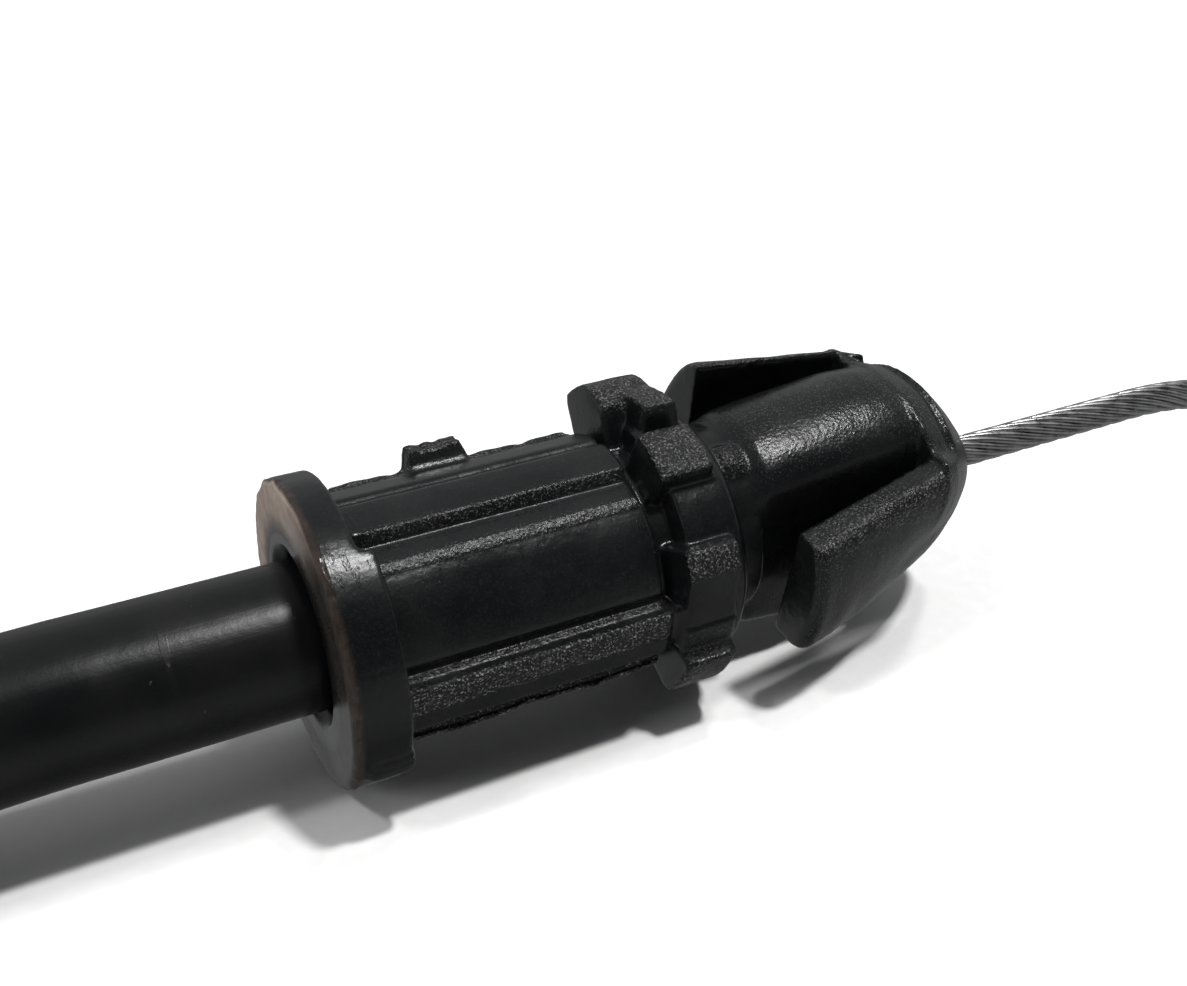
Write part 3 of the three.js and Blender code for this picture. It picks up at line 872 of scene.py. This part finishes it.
def core(x, clock):
    """Round on the two webs between the barbs, flat under the barbs; a bead joins it to the collar."""
    offset = np.radians(clock_gap(clock, BARB_CLOCK))
    flat = CORE_HALF_THICK / np.maximum(np.abs(np.cos(offset)), 0.05)
    neck = np.interp(x, (18.1, 19.2, 19.7, 20.1), (4.7, 4.7, 4.9, 5.2))
    web = np.where(x < 20.1, neck, web_skin(x, clock))
    web = web + 0.35 * band(x, 18.3, 19.3, 0.6) * bump(clock, 24, 8, 10)
    upper = np.abs(clock_gap(clock, BARB_CLOCK - 90))
    lower = np.abs(clock_gap(clock, BARB_CLOCK + 90))
    across = np.minimum(np.radians(np.minimum(upper, lower)), 1.0)
    bulge = 4.1
    centre = web - bulge
    web = centre * np.cos(across) + np.sqrt(bulge ** 2 - (centre * np.sin(across)) ** 2)
    k = 14.0
    joined = -np.log(np.exp(-k * np.minimum(flat, 9) / 5) + np.exp(-k * web / 5)) * 5 / k
    return np.where(x < CORE_X, np.maximum(joined, 4.15), joined)


def fitting_radius(x, clock):
    foot = 0.3 * bump(clock, 117, 5, 4) * band(x, 0.6, 2.5, 0.5)
    r = np.where(x < flange_front(clock) + foot, FLANGE_R - 0.04 + foot, barrel(x, clock))
    tall_ribs = [bump(clock, middle, half, 2) for middle, half, height in RIBS if height > 0.2]
    recess = NECK_R + (BARREL_R + 0.35 - NECK_R) * np.maximum(*tall_ribs)
    behind = np.where(x < 15.3, recess, NECK_R)
    r = np.where((x >= BARREL_X) & (x < COLLAR_X[1]), np.maximum(collar(x, clock), behind), r)
    r = np.where(x >= COLLAR_X[1], core(x, clock), r)
    # the nose: full size beyond the slots, where the barbs grow out of it
    span = np.maximum(bump(clock, FRONT_CLOCK, 44, 8), bump(clock, BACK_CLOCK, 53, 8))
    skin = barb_skin(x, clock) * span + web_skin(x, clock) * (1 - span)
    end = NOSE_X - 0.15
    r = np.where(x >= end, np.where(x > 29.5, barb_skin(x, clock), skin), r)
    return r


def fitting_shell():
    """The moulding without its barbs, as one closed surface with its two bores."""
    columns = 360
    clocks = np.linspace(0, 360, columns, endpoint=False)
    xs = np.concatenate([np.arange(0.25, FIT_LENGTH - 0.05, 0.1), [FIT_LENGTH]])
    ring = np.zeros(columns)
    bore = ((13.0, 1.15), (13.0, 3.3), (5.0, 3.3), (4.8, 3.45), (0.5, 3.5), (0.0, 3.85))
    rows = [(x, ring + r) for x, r in bore]
    rows += [(0.0, ring + FLANGE_R - 0.3), (0.1, ring + FLANGE_R - 0.1)]
    for x in xs:
        rows.append((x, fitting_radius(x + ring, clocks)))
    rows += [(FIT_LENGTH, ring + 1.45), (FIT_LENGTH - 0.3, ring + 1.15)]
    vertices = np.concatenate([axis_points(x, r, clocks) for x, r in rows])
    return vertices, grid_faces(len(rows), columns, wrap_rows=True)


def end_round(x, radius=0.6):
    """How far the free end of a barb is rounded off, at x."""
    left = max(0.0, radius - (x - BARB_REAR_X))
    return radius - math.sqrt(max(radius * radius - left * left, 0.0))


def barb_solid(clock, inner, half, slant=0.0, root_x=29.2):
    """A tongue from its free end into the nose.

    inner is its distance from the axis at the free end and the root, and half gives its half widths above and
    below its middle, also at the free end and the root.
    """
    turn = math.radians(clock)
    out = np.array([-math.sin(turn), math.cos(turn)])
    across = np.array([math.cos(turn), math.sin(turn)])
    columns = 40
    xs = np.arange(BARB_REAR_X, root_x + 0.01, 0.15)
    vertices = []
    for x in xs:
        t = (x - BARB_REAR_X) / (NOSE_X - BARB_REAR_X)
        low = np.interp(t, (0, 1, 1.15), (inner[0], inner[1], inner[1] - 0.8))
        wide = [np.interp(t, (0, 1), (half[0][k], half[1][k])) for k in (0, 1)]
        top, bottom = [], []
        for k in range(columns):
            s = -1 + 2 * k / (columns - 1)
            h = s * wide[1 if s > 0 else 0]
            angle = clock
            for _ in range(3):
                r = float(barb_skin(x, angle))
                angle = clock - math.degrees(math.asin(max(-1, min(1, h / r))))
            edge_round = 0.3 * max(0.0, abs(s) - 0.88) ** 2 / 0.0144
            d = math.sqrt(max(r * r - h * h, 0.1)) - end_round(x) - edge_round
            base = low - slant * (0.5 - s / 2)
            top.append(out * max(d, base + 0.3) + across * h)
            bottom.append(out * base + across * h)
        section = top + bottom[::-1]
        vertices += [(REAR.x + x * MM, y * MM, REAR.z + z * MM) for y, z in section]
    count = 2 * columns
    faces = grid_faces(len(xs), count)
    faces.append(tuple(range(count)))
    faces.append(tuple((len(xs) - 1) * count + k for k in range(count)))
    return vertices, faces


def moulding():
    """All of the moulding as one skin: the solids are joined, then remeshed so that they run together."""
    parts = []
    for name, (vertices, faces) in (
        ("shell", fitting_shell()),
        ("front", barb_solid(FRONT_CLOCK, (5.2, 3.9), ((2.8, 2.95), (2.2, 3.9)), slant=0.5)),
        ("back", barb_solid(BACK_CLOCK, (3.95, 3.9), ((5.75, 5.75), (4.8, 4.8)))),
    ):
        obj = mesh_object(name, vertices, faces)
        recalculate(obj)
        parts.append(obj)
    for obj in bpy.context.scene.objects:
        obj.select_set(obj in parts)
    bpy.context.view_layer.objects.active = parts[0]
    bpy.ops.object.join()
    whole = parts[0]
    remesh = whole.modifiers.new("fuse", "REMESH")
    remesh.mode = "VOXEL"
    remesh.voxel_size = VOXEL * MM
    smooth = whole.modifiers.new("soften", "SMOOTH")
    smooth.factor = 0.5
    smooth.iterations = 6
    graph = bpy.context.evaluated_depsgraph_get()
    mesh = bpy.data.meshes.new_from_object(whole.evaluated_get(graph))
    bpy.data.objects.remove(whole)
    return mesh


def roughen(mesh):
    """Moves the skin a little: long shallow waves, fine ripples, and burrs along the flange's saw-cut rim."""
    for vertex in mesh.vertices:
        place = vertex.co / MM
        x = (vertex.co.x - REAR.x) / MM
        out = Vector((0, vertex.co.y, vertex.co.z - REAR.z)).normalized()
        soft = 0.018 if x < 14 else 0.045
        depth = soft * noise.noise(place * 0.6) + 0.006 * noise.noise(place * 2.9 + Vector((5, 0, 0)))
        if x < 0.35 and (vertex.co.z - REAR.z) ** 2 + vertex.co.y ** 2 > (6.2 * MM) ** 2:
            depth += 0.22 * max(0.0, noise.noise(place * 1.3))
            depth -= 0.1 * max(0.0, noise.noise(place * 2.1 + out * 3))
        elif x < 0.1:
            depth = 0.0
        vertex.co += out * (depth * MM)


def cylinder_coordinates(points):
    """x, r and clock of points in metres."""
    x = (points[:, 0] - REAR.x) / MM
    y, z = points[:, 1] / MM, (points[:, 2] - REAR.z) / MM
    return x, np.hypot(y, z), np.degrees(np.arctan2(-y, z))


def surface_masks(points, normals):
    """Where the moulding is pitted, with painted glints, thin and brown, or saw-cut, with painted light and
    shade.
    """
    x, r, clock = cylinder_coordinates(points)
    radial = np.stack([0 * x, points[:, 1] / MM / r, (points[:, 2] - REAR.z) / MM / r], axis=-1)
    outward = smoothstep(0.15, 0.6, np.sum(normals * radial, axis=1))
    lobes = sum(bump(clock, (a + c) / 2, (c - a) / 2 - 2, 5) for a, c, _ in LOBES if a != SIDE_LOBE)
    lobes = lobes + bump(clock, 67.5, 6, 3)
    pits_and_glints = 0.75 * band(x, 14.4, 17.3, 0.4) * lobes * smoothstep(6.0, 6.3, r)
    ribs = bump(clock, 91.5, 6.8, 2) + bump(clock, 115, 5, 2)
    ribs = ribs + 0.5 * bump(clock, 19.5, 2, 3) + 0.3 * bump(clock, 36, 3, 3)
    pits_and_glints += band(x, 2.4, 14.0, 0.4) * (ribs + 0.5 * bump(clock, FIN_CLOCK, 8, 4))
    pits_and_glints += 0.16 * band(x, 19.8, 28.5, 1.5) * bump(clock, 12, 24, 22) * smoothstep(4.6, 4.9, r)
    pits_and_glints += 0.7 * band(x, 18.3, 19.5, 0.5) * bump(clock, 24, 8, 10)
    pits_and_glints += 0.14 * band(x, 28, 33, 1.5)
    outer = band(x, 20, 28.3, 0.6) * smoothstep(5.3, 5.7, r)
    edges = 0.1 + 0.4 * bump(clock, 69, 7, 6) + 0.6 * bump(clock, -32, 7, 6)
    pits_and_glints += outer * edges * (1 - bump(clock, 8, 36, 6))
    pits_and_glints = pits_and_glints * outward + 0.03
    thin = band(x, -0.2, 0.35, 0.3) * smoothstep(6.3, 6.5, r)
    thin += 0.15 * bump(clock, FLASH_CLOCK, 1.4, 1.5) * band(x, 2, 14, 0.5)
    thin += 0.5 * band(x, 20, 28.5, 0.5) * smoothstep(5.5, 6, r) * bump(clock, 119, 5, 5)
    # painted light and shade on the saw-cut face: lighter towards the upper back, darker at the bottom and
    # towards the bore
    painted_light_fade = 0.06 + 0.94 * bump(clock, -45, 60, 50)
    sawn_and_painted_light = (1 - smoothstep(0.04, 0.14, x)) * smoothstep(4.2, 5.4, r) * painted_light_fade
    return np.clip(pits_and_glints, 0, 1), np.clip(thin, 0, 1), np.clip(sawn_and_painted_light, 0, 1)


def add_masks(mesh):
    """Stores the masks on the mesh's points, where the nylon's nodes read them."""
    points = np.empty(len(mesh.vertices) * 3)
    mesh.vertices.foreach_get("co", points)
    normals = np.empty(len(points))
    mesh.vertex_normals.foreach_get("vector", normals)
    masks = surface_masks(points.reshape(-1, 3), normals.reshape(-1, 3))
    for name, values in zip(("pits_and_glints", "thin", "sawn_and_painted_light"), masks):
        attribute = mesh.attributes.new(name, "FLOAT", "POINT")
        attribute.data.foreach_set("value", values.astype(np.float32))


def barb_at(place):
    """The clock angle of the barb that a place on the moulding belongs to, or None on the body."""
    x = (place.x - REAR.x) / MM
    y, z = place.y / MM, (place.z - REAR.z) / MM
    if BARB_REAR_X - 0.5 < x < CUT_X:
        for side in (FRONT_CLOCK, BACK_CLOCK):
            turn = math.radians(side)
            if -y * math.sin(turn) + z * math.cos(turn) > BARB_INSIDE:
                return side
    return None


def cut_piece(mesh, name, clock):
    """The faces of the moulding that belong to the barb at this clock angle, or to the body."""
    bm = bmesh.new()
    bm.from_mesh(mesh)
    everything = bm.verts[:] + bm.edges[:] + bm.faces[:]
    bmesh.ops.bisect_plane(bm, geom=everything, plane_co=(REAR.x + CUT_X * MM, 0, 0), plane_no=(1, 0, 0))
    gone = [face for face in bm.faces if barb_at(face.calc_center_median()) != clock]
    bmesh.ops.delete(bm, geom=gone, context="FACES")
    piece = bpy.data.meshes.new(name)
    bm.to_mesh(piece)
    bm.free()
    piece.materials.clear()
    piece.materials.append(NYLON)
    piece.shade_smooth()
    obj = bpy.data.objects.new(name, piece)
    bpy.context.scene.collection.objects.link(obj)
    return obj


def split_moulding(mesh):
    """The body and the two barbs, as three meshes that meet where the barbs leave the nose."""
    add_masks(mesh)
    cuts = (("moulded_body", None), ("snap_barb_front", FRONT_CLOCK), ("snap_barb_back", BACK_CLOCK))
    return {name: cut_piece(mesh, name, clock) for name, clock in cuts}


skin = moulding()
roughen(skin)
fitting = split_moulding(skin)
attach(fitting["moulded_body"], "fitting")
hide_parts("fitting_body")
for piece, body in (("snap_barb_front", "barb_front"), ("snap_barb_back", "barb_back")):
    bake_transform(fitting[piece])
    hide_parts(body)


# ---------------------------------------------------------------- floor and light
LAMP_DISTANCE = 0.9          # in metres


def make_floor():
    bpy.ops.mesh.primitive_plane_add(size=6, location=(0, 0, 0))
    floor = bpy.context.object
    floor.name = "floor"
    floor.data.materials.append(floor_material())
    floor.visible_glossy = False


def area_light(name, direction, size, power, sheen=True, wash=True):
    """A soft box facing the fitting: without sheen it isn't mirrored, without wash it is only mirrored."""
    data = bpy.data.lights.new(name, "AREA")
    data.shape = "RECTANGLE"
    data.size, data.size_y = size
    data.energy = power
    light = bpy.data.objects.new(name, data)
    bpy.context.scene.collection.objects.link(light)
    place = Vector(direction).normalized() * LAMP_DISTANCE
    light.location = place
    light.rotation_euler = (-place).to_track_quat("-Z", "Y").to_euler()
    light.visible_glossy = sheen
    light.visible_diffuse = wash


def make_world():
    """Light from above and behind, a dim room behind the camera, and the table's glow from below."""
    world = bpy.data.worlds.new("studio")
    world.use_nodes = True
    tree = world.node_tree
    ways = tree.nodes.new("ShaderNodeTexCoord")
    split = tree.nodes.new("ShaderNodeSeparateXYZ")
    tree.links.new(ways.outputs["Generated"], split.inputs[0])

    def ramp(axis, low, high, start, end):
        node = tree.nodes.new("ShaderNodeMapRange")
        node.interpolation_type = "SMOOTHSTEP"
        for socket, value in zip(("From Min", "From Max", "To Min", "To Max"), (low, high, start, end)):
            node.inputs[socket].default_value = value
        tree.links.new(split.outputs[axis], node.inputs["Value"])
        return node.outputs["Result"]

    def combine(operation, a, b):
        node = tree.nodes.new("ShaderNodeMath")
        node.operation = operation
        tree.links.new(a, node.inputs[0])
        tree.links.new(b, node.inputs[1])
        return node.outputs[0]

    above = combine("MULTIPLY", ramp("Y", -0.5, -0.1, 0.05, 0.36), ramp("Z", -0.12, 0.0, 0.0, 1.0))
    table = combine("MULTIPLY", ramp("Z", -0.35, 0.08, 0.3, 0.0), ramp("Z", -0.95, -0.6, 0.35, 1.0))
    light = combine("ADD", above, table)
    background = tree.nodes["Background"]
    tree.links.new(light, background.inputs["Strength"])
    background.inputs["Color"].default_value = (0.98, 0.99, 1, 1)
    bpy.context.scene.world = world


make_floor()
make_world()
area_light("sheen", (0.25, -0.21, 0.94), (0.12, 0.12), 3.8, wash=False)
area_light("front_high", (0.2, -0.23, 0.95), (0.07, 0.07), 6.2, sheen=False)
area_light("overhead", (0.25, 0.02, 0.97), (0.08, 0.08), 1.9, sheen=False)
area_light("left_high", (-0.5, -0.08, 0.86), (0.1, 0.1), 1.7, sheen=False)
area_light("left_low", (-0.85, -0.06, 0.45), (0.3, 0.3), 2.2, sheen=False)
near_wire.visible_shadow = False         # too thin to darken the pale floor
bpy.context.scene.view_settings.view_transform = "Standard"
